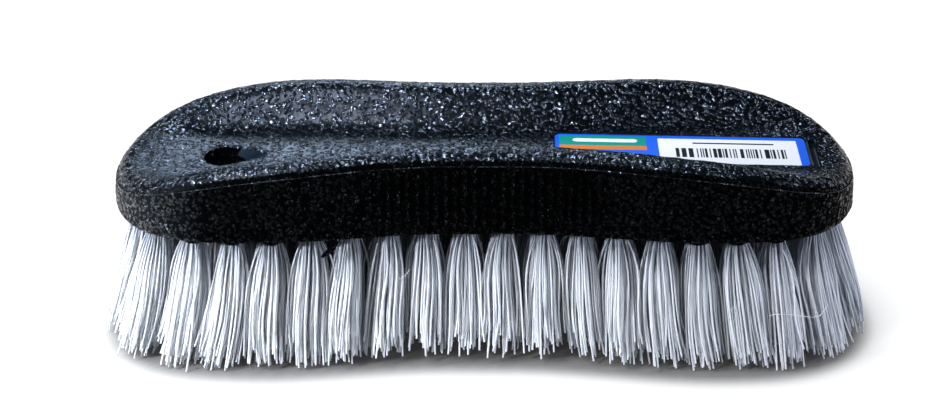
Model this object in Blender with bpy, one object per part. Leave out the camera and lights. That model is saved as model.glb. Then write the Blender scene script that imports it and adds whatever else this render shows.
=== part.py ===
# Hand scrub brush: a waisted plastic block with two raised grip rims along a trough,
# a label in its seat, a hanging hole, and rows of bristle tufts.
# Metres, +Z up, +X along the block. The bristle tips stand on z = 0, centred on the origin.

import math
import random

import bmesh
import bpy
import numpy as np

# Block, seen from above
BLOCK_LENGTH = 0.200
SHOULDER_WIDTH = 0.066
WAIST_WIDTH = 0.0543
WAIST_FLAT = 0.008
SHOULDER_TO_END = 0.038
END_ROUNDING = 0.070
END_POWER = 6.0
SPINE_TO_END = 0.034

# Block, seen from the side: heights above its own underside
RIM_HEIGHT = 0.0220
RIM_HEIGHT_END = 0.0102
RIM_HEIGHT_HOLE_END = 0.0095
RIM_FALL_POWER = 3.4
RIM_CROWN = 0.0010
FLOOR_HEIGHT = 0.0141
FLOOR_HEIGHT_END = 0.0125
FLOOR_HEIGHT_HOLE_END = 0.0108
FLOOR_FALL_POWER = 2.5

# Block, in cross-section: distances in from its side
EDGE_RADIUS = 0.0025
EDGE_RADIUS_END = 0.0045
EDGE_GROWTH_POWER = 4.0
FOOT_CHAMFER = 0.0008
CREST_INSET = 0.0065
TROUGH_INSET = 0.0172

# Grip ribs on the waist
RIB_FIELD_HALF = 0.0300
RIB_PITCH = 0.0025
RIB_WIDTH = 0.0012
RIB_HEIGHT = 0.0005
RIB_FOOT_GAP = 0.0018
RIB_TOP_GAP = 0.0028

# Label and its seat
LABEL_LENGTH = 0.069
LABEL_WIDTH = 0.0204
LABEL_THICKNESS = 0.0003
LABEL_TO_END = 0.0128
LABEL_CORNER = 0.0028
LABEL_SIDE_CLEARANCE = 0.0005
LABEL_END_CLEARANCE = 0.0032
LABEL_SUNK = 0.0004

# Hanging hole, in the place of one row's middle tuft
ROW_COUNT_BEFORE_HOLE = 1
HOLE_PAST_ROW = 0.0031
HOLE_MOUTH_RADIUS = 0.0055
HOLE_MOUTH_HALF_WIDTH = 0.0064
HOLE_TAIL_LENGTH = 0.0115
HOLE_TAIL_RADIUS = 0.0018
HOLE_FOOT_RADIUS = 0.0033
HOLE_FOOT_SHIFT = 0.0028

# Post: the block's own plastic round the hole's foot, dividing that row's bed
POST_SIDE_WALL = 0.0015
POST_END_WALL = 0.0010

# Tuft bed: the backing of the bristles, cut crosswise into slices
BED_WALL = 0.0012
BED_DEPTH = 0.0032
SEAT_GAP = 0.0003
BED_SIDE_GAP = 0.0004

# Tufts
BRISTLE_LENGTH = 0.038
ROW_PITCH = 0.0102
FIRST_ROW_TO_END = 0.0133
LAST_ROW_TO_END = 0.0130
OUTER_TUFT_INSET = 0.0058
STRANDS_PER_TUFT = 4
STRAND_SIDES = 3
STRAND_ROOT_RADIUS = 0.0009
STRAND_TIP_RADIUS = 0.0015
STRAND_EMBED = 0.0010
TUFT_ROOT_SPREAD = 0.0014
TUFT_TIP_SPREAD = 0.0030
TIP_WANDER = 0.00025
TIP_FLAT_DEPTH = 0.0005
TIP_SHORT = 0.0008
FAN_SHARE = 0.040
END_LEAN = 0.0055
LEAN_TO_END = 0.030

# Bosses round the leaning tufts at the shoulders
BOSS_FIRST_TO_END = 0.020
BOSS_LAST_TO_END = 0.050
BOSS_HEIGHT = 0.0022
BOSS_RADIUS = 0.0031
BOSS_TIP_RADIUS = 0.0027

# How finely round shapes are cut, and how far a cutter runs past what it cuts
QUARTER_POINTS = 22
EDGE_STEPS = 3
SLOPE_STEPS = 5
CORNER_STEPS = 4
HOLE_POINTS = 20
BOSS_POINTS = 12
OFFSET_STEPS = 400
CUT_PAST = 0.0020

half_length = BLOCK_LENGTH / 2
block_foot = BRISTLE_LENGTH
spine_half = half_length - SPINE_TO_END
label_stop = half_length - LABEL_TO_END
label_start = label_stop - LABEL_LENGTH
row_count = int((BLOCK_LENGTH - FIRST_ROW_TO_END - LAST_ROW_TO_END) / ROW_PITCH) + 1


def row_x(row):
    """Where a row's outer and middle tufts stand along the block."""
    return FIRST_ROW_TO_END - half_length + row * ROW_PITCH


hole_foot_x = row_x(ROW_COUNT_BEFORE_HOLE) + HOLE_PAST_ROW


def smooth_step(low, high, value):
    share = min(max((value - low) / (high - low), 0.0), 1.0)
    return share * share * (3 - 2 * share)


def half_width(x):
    """Half the block's width: a waist that swells into shoulders, closed by round ends."""
    swell = smooth_step(WAIST_FLAT, half_length - SHOULDER_TO_END, abs(x))
    side = WAIST_WIDTH + (SHOULDER_WIDTH - WAIST_WIDTH) * swell
    along = max(abs(x) - half_length + END_ROUNDING, 0.0) / END_ROUNDING
    return side / 2 * math.sqrt(max(1 - along**END_POWER, 0.0))


def edge_height(x):
    """Height of the rim's outer edge above the block's underside."""
    end = RIM_HEIGHT_HOLE_END if x < 0 else RIM_HEIGHT_END
    fall = (abs(x) / half_length) ** RIM_FALL_POWER
    return RIM_HEIGHT - (RIM_HEIGHT - end) * fall


def edge_radius(x):
    """Radius of the rim's outer edge, larger towards the ends."""
    growth = (abs(x) / half_length) ** EDGE_GROWTH_POWER
    return EDGE_RADIUS + (EDGE_RADIUS_END - EDGE_RADIUS) * growth


def floor_height(x):
    """Height of the trough's floor above the block's underside."""
    end = FLOOR_HEIGHT_HOLE_END if x < 0 else FLOOR_HEIGHT_END
    rise = max(1 - (x / half_length) ** 2, 0.0) ** FLOOR_FALL_POWER
    return end + (FLOOR_HEIGHT - end) * rise


def outline(count):
    """Points round the block, anticlockwise from its +X end, with count points in each quarter."""
    points = []
    for step in range(4 * count):
        angle = step * math.pi / (2 * count)
        x = half_length * math.cos(angle)
        points.append((x, math.copysign(half_width(x), math.sin(angle))))
    return points


def top_height(edge_x, x, inset):
    """Height of the top face at a distance in from the block's side."""
    floor = floor_height(x)
    crown = RIM_CROWN * math.sin(math.pi / 2 * min(inset / CREST_INSET, 1.0))
    rim = edge_height(edge_x) + crown - floor
    height = floor + rim * (1 - smooth_step(CREST_INSET, TROUGH_INSET, inset))
    radius = edge_radius(edge_x)
    if inset < radius:
        height -= radius - math.sqrt(radius**2 - (radius - inset) ** 2)
    return height


def inward(point, inset):
    """The place at a distance in from an outline point, on the way to the block's spine."""
    x, y = point
    spine_x = min(max(x, -spine_half), spine_half)
    away = math.hypot(x - spine_x, y)
    share = 1 - inset / away
    return spine_x + (x - spine_x) * share, y * share


def material(name, colour, roughness):
    made = bpy.data.materials.new(name)
    made.use_nodes = True
    shader = made.node_tree.nodes["Principled BSDF"]
    shader.inputs["Base Color"].default_value = (*colour, 1.0)
    shader.inputs["Roughness"].default_value = roughness
    shader.inputs["Metallic"].default_value = 0.0
    made.diffuse_color = (*colour, 1.0)
    return made


def add_object(name, bm, surface=None):
    """Turns a bmesh into an object; one with no surface is a guide for a Boolean."""
    bmesh.ops.recalc_face_normals(bm, faces=bm.faces)
    mesh = bpy.data.meshes.new(name)
    bm.to_mesh(mesh)
    bm.free()
    made = bpy.data.objects.new(name, mesh)
    bpy.context.scene.collection.objects.link(made)
    if surface is None:
        made.hide_render = True
        made.display_type = "WIRE"
    else:
        mesh.materials.append(surface)
    return made


def boolean(target, operation, guide):
    step = target.modifiers.new(guide.name, "BOOLEAN")
    step.operation = operation
    step.solver = "EXACT"
    step.object = guide


def bridge(bm, lower, upper):
    """Joins two rings of as many vertices with a band of faces."""
    for index, vertex in enumerate(lower):
        after = (index + 1) % len(lower)
        corners = [vertex, lower[after], upper[after], upper[index]]
        distinct = list(dict.fromkeys(corners))
        if len(distinct) > 2:
            bm.faces.new(distinct)


def prism(bm, points, low, high):
    """A closed prism on a list of (x, y), between two heights."""
    foot = [bm.verts.new((x, y, low)) for x, y in points]
    head = [bm.verts.new((x, y, high)) for x, y in points]
    bridge(bm, foot, head)
    bm.faces.new(foot)
    bm.faces.new(head)


def profile(point):
    """The block's cross-section at an outline point, from its underside up and over to the trough."""
    edge_x = point[0]
    radius = edge_radius(edge_x)
    section = [
        (*inward(point, FOOT_CHAMFER), 0.0),
        (*point, FOOT_CHAMFER),
        (*point, edge_height(edge_x) - radius),
    ]
    insets = []
    for step in range(1, EDGE_STEPS + 1):
        turn = step / EDGE_STEPS * math.pi / 2
        insets.append(radius * (1 - math.cos(turn)))
    for step in range(SLOPE_STEPS + 1):
        insets.append(CREST_INSET + (TROUGH_INSET - CREST_INSET) * step / SLOPE_STEPS)
    for inset in insets:
        x, y = inward(point, inset)
        section.append((x, y, top_height(edge_x, x, inset)))
    return section


def block_shell():
    bm = bmesh.new()
    around = outline(QUARTER_POINTS)
    loops = []
    for ring in zip(*[profile(point) for point in around]):
        loops.append([bm.verts.new((x, y, block_foot + z)) for x, y, z in ring])
    spine = {}
    last = []
    for x, y in around:
        spine_x = round(min(max(x, -spine_half), spine_half), 7)
        if spine_x not in spine:
            spine[spine_x] = bm.verts.new((spine_x, 0.0, block_foot + floor_height(spine_x)))
        last.append(spine[spine_x])
    loops.append(last)
    for lower, upper in zip(loops, loops[1:]):
        bridge(bm, lower, upper)
    bm.faces.new(loops[0])
    return bm


def inset_side(inset):
    """The +Y side of the outline moved in along its normal, as rising x and their y."""
    angles = np.linspace(math.pi, 0.0, OFFSET_STEPS + 1)
    xs = half_length * np.cos(angles)
    ys = np.array([half_width(x) for x in xs])
    run_x = np.gradient(xs)
    run_y = np.gradient(ys)
    length = np.hypot(run_x, run_y)
    moved_x = xs + run_y / length * inset
    moved_y = ys - run_x / length * inset
    inside = moved_y > 0
    return moved_x[inside], moved_y[inside]


def side_at(x, inset):
    """The +Y side's y at x, on the outline moved in along its normal."""
    side_x, side_y = inset_side(inset)
    return float(np.interp(x, side_x, side_y))


def bed_side(inset):
    """Points along the bed's +Y side, closest together round its ends."""
    side_x, side_y = inset_side(inset)
    middle = (side_x[0] + side_x[-1]) / 2
    reach = (side_x[-1] - side_x[0]) / 2
    points = []
    for step in range(2 * QUARTER_POINTS + 1):
        x = middle - reach * math.cos(step / QUARTER_POINTS * math.pi / 2)
        points.append((x, float(np.interp(x, side_x, side_y))))
    return points


def rib_guide():
    """Upright grip ribs on both sides of the waist, reaching into the wall behind them."""
    bm = bmesh.new()
    count = int(2 * RIB_FIELD_HALF / RIB_PITCH) + 1
    for index in range(count):
        x = (index - (count - 1) / 2) * RIB_PITCH
        for side in (-1, 1):
            wall = half_width(x)
            low = block_foot + RIB_FOOT_GAP
            high = block_foot + edge_height(x) - RIB_TOP_GAP
            section = [
                (x - RIB_WIDTH / 2, side * (wall - RIB_HEIGHT)),
                (x + RIB_WIDTH / 2, side * (wall - RIB_HEIGHT)),
                (x + RIB_WIDTH / 4, side * (wall + RIB_HEIGHT)),
                (x - RIB_WIDTH / 4, side * (wall + RIB_HEIGHT)),
            ]
            prism(bm, section, low, high)
    return add_object("rib_guide", bm)


def label_height(x):
    """The label's upper face: a plane through the trough's floor at both ends, sunk in its seat."""
    fall = (floor_height(label_stop) - floor_height(label_start)) / LABEL_LENGTH
    return block_foot + floor_height(label_start) + fall * (x - label_start) - LABEL_SUNK


def rounded_rectangle(x_low, x_high, half, radius):
    points = []
    corners = ((x_high, half, 0), (x_low, half, 1), (x_low, -half, 2), (x_high, -half, 3))
    for x, y, quarter in corners:
        centre_x = x - math.copysign(radius, x - (x_low + x_high) / 2)
        centre_y = y - math.copysign(radius, y)
        for step in range(CORNER_STEPS + 1):
            angle = (quarter + step / CORNER_STEPS) * math.pi / 2
            points.append((centre_x + radius * math.cos(angle), centre_y + radius * math.sin(angle)))
    return points


def sloped_plate(bm, points, low, high):
    """A closed plate whose faces follow the label's slope, from low to high beside its plane."""
    foot = [bm.verts.new((x, y, label_height(x) + low)) for x, y in points]
    head = [bm.verts.new((x, y, label_height(x) + high)) for x, y in points]
    bridge(bm, foot, head)
    bm.faces.new(foot)
    bm.faces.new(head)


def label_seat_guide():
    bm = bmesh.new()
    points = rounded_rectangle(
        label_start - LABEL_SIDE_CLEARANCE,
        label_stop + LABEL_END_CLEARANCE,
        LABEL_WIDTH / 2 + LABEL_SIDE_CLEARANCE,
        LABEL_CORNER + LABEL_SIDE_CLEARANCE,
    )
    rim_rise = RIM_HEIGHT + RIM_CROWN - FLOOR_HEIGHT_END
    sloped_plate(bm, points, -LABEL_THICKNESS - SEAT_GAP, rim_rise + CUT_PAST)
    return add_object("label_seat_guide", bm)


def hole_guide():
    """The hanging hole: a teardrop mouth in the trough, closing to a round foot nearer the end."""
    bm = bmesh.new()
    mouth_x = hole_foot_x + HOLE_FOOT_SHIFT
    mouth = []
    foot = []
    for step in range(HOLE_POINTS):
        angle = 2 * math.pi * step / HOLE_POINTS
        ahead = max(math.cos(angle), 0.0) ** 2
        reach = HOLE_MOUTH_RADIUS + (HOLE_TAIL_LENGTH - HOLE_MOUTH_RADIUS) * ahead
        side = HOLE_MOUTH_HALF_WIDTH + (HOLE_TAIL_RADIUS - HOLE_MOUTH_HALF_WIDTH) * ahead
        mouth.append((mouth_x + reach * math.cos(angle), side * math.sin(angle)))
        turned_x = hole_foot_x + HOLE_FOOT_RADIUS * math.cos(angle)
        foot.append((turned_x, HOLE_FOOT_RADIUS * math.sin(angle)))
    mouth_z = block_foot + floor_height(mouth_x)
    levels = (
        (foot, block_foot - CUT_PAST),
        (foot, block_foot),
        (mouth, mouth_z),
        (mouth, mouth_z + CUT_PAST),
    )
    loops = [[bm.verts.new((x, y, z)) for x, y in points] for points, z in levels]
    for lower, upper in zip(loops, loops[1:]):
        bridge(bm, lower, upper)
    bm.faces.new(loops[0])
    bm.faces.new(loops[-1])
    return add_object("hole_guide", bm)


def post_half_width():
    return HOLE_FOOT_RADIUS + POST_SIDE_WALL


def post_guide(name, gap):
    """The post, grown by a gap: one end of it follows the zigzag border before its row."""
    half = post_half_width() + gap
    start = row_x(ROW_COUNT_BEFORE_HOLE - 1) + ROW_PITCH / 2 + SEAT_GAP / 2
    rise = ROW_PITCH / 2 * half / (tuft_side(start) / 2)
    stop = hole_foot_x + HOLE_FOOT_RADIUS + POST_END_WALL + gap
    points = [(start, 0.0), (start + rise, -half), (stop, -half), (stop, half), (start + rise, half)]
    bm = bmesh.new()
    prism(bm, points, block_foot - 2 * CUT_PAST, block_foot + BED_DEPTH + CUT_PAST)
    return add_object(name, bm)


def bed_guide():
    bm = bmesh.new()
    upper = bed_side(FOOT_CHAMFER + BED_WALL)
    lower = [(x, -y) for x, y in upper]
    prism(bm, lower + upper[::-1], block_foot - CUT_PAST, block_foot + BED_DEPTH)
    bed = add_object("bed_guide", bm)
    boolean(bed, "DIFFERENCE", post_guide("post_guide", 0.0))
    return bed


def brush_block(plastic):
    block = add_object("brush_block", block_shell(), plastic)
    boolean(block, "UNION", rib_guide())
    boolean(block, "DIFFERENCE", bed_guide())
    boolean(block, "DIFFERENCE", label_seat_guide())
    boolean(block, "DIFFERENCE", hole_guide())
    block.data.shade_smooth()
    block.data.set_sharp_from_angle(angle=math.radians(35))
    return block


def label(paper):
    bm = bmesh.new()
    points = rounded_rectangle(label_start, label_stop, LABEL_WIDTH / 2, LABEL_CORNER)
    sloped_plate(bm, points, -LABEL_THICKNESS, 0.0)
    return add_object("label", bm, paper)


def tuft_side(x):
    """How far the outer tufts stand from the middle of the block."""
    return side_at(x, OUTER_TUFT_INSET)


def row_tufts(row):
    """Tuft places of one row: outer, middle and outer, then the staggered pair beside them."""
    x = row_x(row)
    between = x + ROW_PITCH / 2
    places = [(x, tuft_side(x)), (x, 0.0), (x, -tuft_side(x))]
    staggered = [between]
    if row == 0:
        staggered.append(x - ROW_PITCH / 2)
    for beside in staggered:
        places.append((beside, tuft_side(beside) / 2))
        places.append((beside, -tuft_side(beside) / 2))
    if row == ROW_COUNT_BEFORE_HOLE:
        places.remove((x, 0.0))
    return places


def slice_border(row, shift):
    """The zigzag line after a row, from the +Y side to the -Y side, moved along x by shift."""
    x = row_x(row) + ROW_PITCH / 2
    edge = side_at(x + shift, FOOT_CHAMFER + BED_WALL + BED_SIDE_GAP)
    outer = tuft_side(x)
    zigzag = [(x, edge), (x, outer), (x + ROW_PITCH / 2, outer / 2), (x, 0.0)]
    zigzag += [(x + ROW_PITCH / 2, -outer / 2), (x, -outer), (x, -edge)]
    return [(x + shift, y) for x, y in zigzag]


def slice_outline(row):
    """A row's slice of the backing: zigzag borders across, the bed's outline at its two sides."""
    before = []
    after = []
    low_x = -half_length
    high_x = half_length
    if row > 0:
        before = slice_border(row - 1, SEAT_GAP / 2)
        low_x = before[0][0] + SEAT_GAP
    if row < row_count - 1:
        after = slice_border(row, -SEAT_GAP / 2)
        high_x = after[0][0] - SEAT_GAP
    bed = bed_side(FOOT_CHAMFER + BED_WALL + BED_SIDE_GAP)
    upper = [(x, y) for x, y in bed if low_x < x < high_x]
    lower = [(x, -y) for x, y in upper]
    return before + lower + after[::-1] + upper[::-1]


def back_part(points, low_y):
    """The part of a closed outline that lies beyond low_y."""
    kept = []
    for (x, y), (next_x, next_y) in zip(points, points[1:] + points[:1]):
        if y > low_y:
            kept.append((x, y))
        if (y > low_y) != (next_y > low_y):
            kept.append((x + (next_x - x) * (low_y - y) / (next_y - y), low_y))
    return kept


def end_lean(x):
    """How far a tuft's tips lean outwards, beyond the fan, near the block's two ends."""
    lean = END_LEAN * smooth_step(half_length - LEAN_TO_END, half_length, abs(x))
    return math.copysign(lean, x)


def strand(bm, tuft, offset, tip_offset, tip_z, turn):
    """One strand: three rings, from inside the backing to its tip, cut flat at the floor."""
    root_z = block_foot + STRAND_EMBED
    tip_lean = (end_lean(tuft[0]), 0.0)
    rings = []
    for height in (root_z, block_foot / 2, max(tip_z, 0.0)):
        share = (block_foot - height) / (block_foot - tip_z)
        lean = max(share, 0.0)
        radius = STRAND_ROOT_RADIUS + (STRAND_TIP_RADIUS - STRAND_ROOT_RADIUS) * lean
        centre = []
        for place, start, stop, past in zip(tuft, offset, tip_offset, tip_lean):
            centre.append(place * (1 + FAN_SHARE * lean) + start + (stop - start + past) * lean)
        ring = []
        for side in range(STRAND_SIDES):
            angle = turn + 2 * math.pi * side / STRAND_SIDES
            x = centre[0] + radius * math.cos(angle)
            y = centre[1] + radius * math.sin(angle)
            ring.append(bm.verts.new((x, y, height)))
        rings.append(ring)
    for lower, upper in zip(rings, rings[1:]):
        bridge(bm, lower, upper)
    bm.faces.new(rings[0])
    bm.faces.new(rings[-1])


def tuft_strands(bm, tuft, chance):
    start = chance.uniform(0, 2 * math.pi)
    for index in range(STRANDS_PER_TUFT):
        angle = start + 2 * math.pi * index / STRANDS_PER_TUFT
        direction = (math.cos(angle), math.sin(angle))
        offset = [TUFT_ROOT_SPREAD * part for part in direction]
        tip_offset = [
            TUFT_TIP_SPREAD * part + chance.uniform(-TIP_WANDER, TIP_WANDER) for part in direction
        ]
        tip_z = chance.uniform(-TIP_FLAT_DEPTH, TIP_SHORT)
        strand(bm, tuft, offset, tip_offset, tip_z, angle)


def boss(bm, tuft):
    """A low plug of plastic round a leaning tuft's root."""
    x, y = tuft
    levels = (
        (BOSS_RADIUS, block_foot + STRAND_EMBED),
        (BOSS_RADIUS, block_foot),
        (BOSS_TIP_RADIUS, block_foot - BOSS_HEIGHT),
    )
    loops = []
    for radius, z in levels:
        loop = []
        for step in range(BOSS_POINTS):
            angle = 2 * math.pi * step / BOSS_POINTS
            loop.append(bm.verts.new((x + radius * math.cos(angle), y + radius * math.sin(angle), z)))
        loops.append(loop)
    for lower, upper in zip(loops, loops[1:]):
        bridge(bm, lower, upper)
    bm.faces.new(loops[0])
    bm.faces.new(loops[-1])


def tuft_slice(name, row, points, tufts, fibre, chance):
    """A slice of the backing with its tufts and any bosses fused to it."""
    backing = bmesh.new()
    prism(backing, points, block_foot, block_foot + BED_DEPTH - SEAT_GAP)
    made = add_object(name, backing, fibre)
    x = row_x(row)
    if BOSS_FIRST_TO_END < half_length - abs(x) < BOSS_LAST_TO_END:
        bosses = bmesh.new()
        for tuft in tufts:
            if abs(tuft[1]) == tuft_side(x):
                boss(bosses, tuft)
        boolean(made, "UNION", add_object(f"{name}_boss_guide", bosses))
    strands = bmesh.new()
    for tuft in tufts:
        tuft_strands(strands, tuft, chance)
    boolean(made, "UNION", add_object(f"{name}_strand_guide", strands))
    return made


def tuft_rows(fibre, chance):
    clearance = post_guide("post_clearance_guide", SEAT_GAP)
    for row in range(row_count):
        name = f"tuft_row_{row + 1:02d}"
        points = slice_outline(row)
        tufts = row_tufts(row)
        if row == ROW_COUNT_BEFORE_HOLE:
            back = back_part(points, post_half_width() + SEAT_GAP)
            front = [(x, -y) for x, y in back]
            back_tufts = [tuft for tuft in tufts if tuft[1] > 0]
            front_tufts = [tuft for tuft in tufts if tuft[1] < 0]
            tuft_slice(f"{name}_back", row, back, back_tufts, fibre, chance)
            tuft_slice(f"{name}_front", row, front, front_tufts, fibre, chance)
        else:
            made = tuft_slice(name, row, points, tufts, fibre, chance)
            if row == ROW_COUNT_BEFORE_HOLE + 1:
                boolean(made, "DIFFERENCE", clearance)


def main():
    for old in list(bpy.data.objects):
        bpy.data.objects.remove(old, do_unlink=True)
    plastic = material("black_plastic", (0.016, 0.020, 0.026), 0.42)
    paper = material("label_paper", (0.75, 0.78, 0.85), 0.35)
    fibre = material("white_bristle", (0.82, 0.83, 0.86), 0.40)
    brush_block(plastic)
    label(paper)
    tuft_rows(fibre, random.Random(11))


main()
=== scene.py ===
import math
import random

import bpy
import numpy as np
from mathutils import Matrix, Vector


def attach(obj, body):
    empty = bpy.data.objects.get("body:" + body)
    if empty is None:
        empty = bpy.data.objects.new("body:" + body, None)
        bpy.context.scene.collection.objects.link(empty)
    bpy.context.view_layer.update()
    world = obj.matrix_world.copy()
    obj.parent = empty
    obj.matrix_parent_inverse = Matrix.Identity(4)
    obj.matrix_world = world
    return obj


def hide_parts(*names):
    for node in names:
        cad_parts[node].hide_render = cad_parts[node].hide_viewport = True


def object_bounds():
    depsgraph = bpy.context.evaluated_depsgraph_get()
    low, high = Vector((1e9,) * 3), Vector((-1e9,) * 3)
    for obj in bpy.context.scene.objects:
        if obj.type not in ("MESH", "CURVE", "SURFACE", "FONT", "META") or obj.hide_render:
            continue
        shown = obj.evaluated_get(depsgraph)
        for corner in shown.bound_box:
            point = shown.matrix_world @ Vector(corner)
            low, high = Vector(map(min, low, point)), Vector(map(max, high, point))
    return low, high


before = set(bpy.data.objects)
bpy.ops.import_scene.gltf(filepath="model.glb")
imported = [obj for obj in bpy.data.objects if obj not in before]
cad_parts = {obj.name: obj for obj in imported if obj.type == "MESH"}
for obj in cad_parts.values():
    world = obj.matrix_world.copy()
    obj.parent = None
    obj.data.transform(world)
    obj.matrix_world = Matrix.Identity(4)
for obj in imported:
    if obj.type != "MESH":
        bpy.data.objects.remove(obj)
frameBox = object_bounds()
mm = 0.001
print("frame loaded:", len(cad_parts), "nodes")


# small helpers for picking, cutting and shading

def startEditing(action=None):
    bpy.ops.object.mode_set(mode="EDIT")
    if action:
        bpy.ops.mesh.select_all(action=action)


def stopEditing():
    bpy.ops.object.mode_set(mode="OBJECT")


def nothingSelected():
    bpy.ops.object.select_all(action="DESELECT")


def pickOnly(piece):
    nothingSelected()
    piece.select_set(True)
    bpy.context.view_layer.objects.active = piece


def named(name):
    made = bpy.context.active_object
    made.name = name
    made.data.name = name
    return made


def settled():
    # place, turn and size go into the mesh
    bpy.ops.object.transform_apply(location=True, rotation=True, scale=True)


def applied(piece, kind, **settings):
    pickOnly(piece)
    bpy.ops.object.modifier_add(type=kind)
    step = piece.modifiers[-1]
    for key, value in settings.items():
        setattr(step, key, value)
    bpy.ops.object.modifier_apply(modifier=step.name)


def cutWith(piece, cutter):
    applied(piece, "BOOLEAN", operation="DIFFERENCE", solver="EXACT", object=cutter, material_mode="TRANSFER")
    bpy.data.objects.remove(cutter, do_unlink=True)


def pointsOf(piece):
    flat = np.empty(len(piece.data.vertices) * 3)
    piece.data.vertices.foreach_get("co", flat)
    return flat.reshape(-1, 3)


def placePoints(piece, places):
    piece.data.vertices.foreach_set("co", np.ascontiguousarray(places).ravel())
    piece.data.update()


def joined(name, parts):
    nothingSelected()
    for part in parts:
        part.select_set(True)
    bpy.context.view_layer.objects.active = parts[0]
    if len(parts) > 1:
        bpy.ops.object.join()
    return named(name)


def smoothShade(piece, degrees):
    pickOnly(piece)
    bpy.ops.object.shade_smooth_by_angle(angle=math.radians(degrees))


def copyOf(piece, place, turn=(0, 0, 0), size=(1, 1, 1)):
    # a copy with a mesh of its own
    pickOnly(piece)
    bpy.ops.object.duplicate()
    made = bpy.context.active_object
    made.location, made.rotation_euler, made.scale = place, turn, size
    settled()
    return made


def wear(piece, finish):
    piece.data.materials.clear()
    piece.data.materials.append(finish)


def newTube(name, radius, fineness=1, capped=True):
    # a round curve that has no strand yet
    nothingSelected()
    bpy.ops.curve.primitive_nurbs_path_add(location=(0, 0, 0))
    piece = named(name)
    piece.data.splines.clear()
    piece.data.bevel_depth = radius
    piece.data.bevel_resolution = fineness
    piece.data.use_fill_caps = capped
    return piece


def addStrand(piece, path, widths=None, steps=0):
    # straight from point to point, or smooth with that many steps between two points
    strand = piece.data.splines.new("NURBS" if steps else "POLY")
    strand.points.add(len(path) - 1)
    for index, point in enumerate(strand.points):
        point.co = (*path[index], 1.0)
        if widths:
            point.radius = widths[index]
    if steps:
        strand.order_u = 3
        strand.use_endpoint_u = True
        strand.resolution_u = steps
    return strand


def tubeMesh(piece, finish):
    name = piece.name
    pickOnly(piece)
    bpy.ops.object.convert(target="MESH")
    made = named(name)
    wear(made, finish)
    return made


def ready(piece, nodes=()):
    pickOnly(piece)
    settled()
    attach(piece, "root")
    if nodes:
        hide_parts(*nodes)


# materials

def hexColour(code):
    parts = [int(code[start:start + 2], 16) / 255 for start in (1, 3, 5)]
    return (*[p / 12.92 if p <= 0.04045 else ((p + 0.055) / 1.055) ** 2.4 for p in parts], 1.0)


def newFinish(name):
    finish = bpy.data.materials.new(name)
    finish.use_nodes = True
    return finish, finish.node_tree, finish.node_tree.nodes["Principled BSDF"]


def addNode(tree, kind, values=None, links=None, **settings):
    node = tree.nodes.new("ShaderNode" + kind)
    for key, value in settings.items():
        setattr(node, key, value)
    for socket, value in (values or {}).items():
        node.inputs[socket].default_value = value
    for socket, source in (links or {}).items():
        tree.links.new(source, node.inputs[socket])
    return node


def perMetre(size):
    return 1 / size


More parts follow.
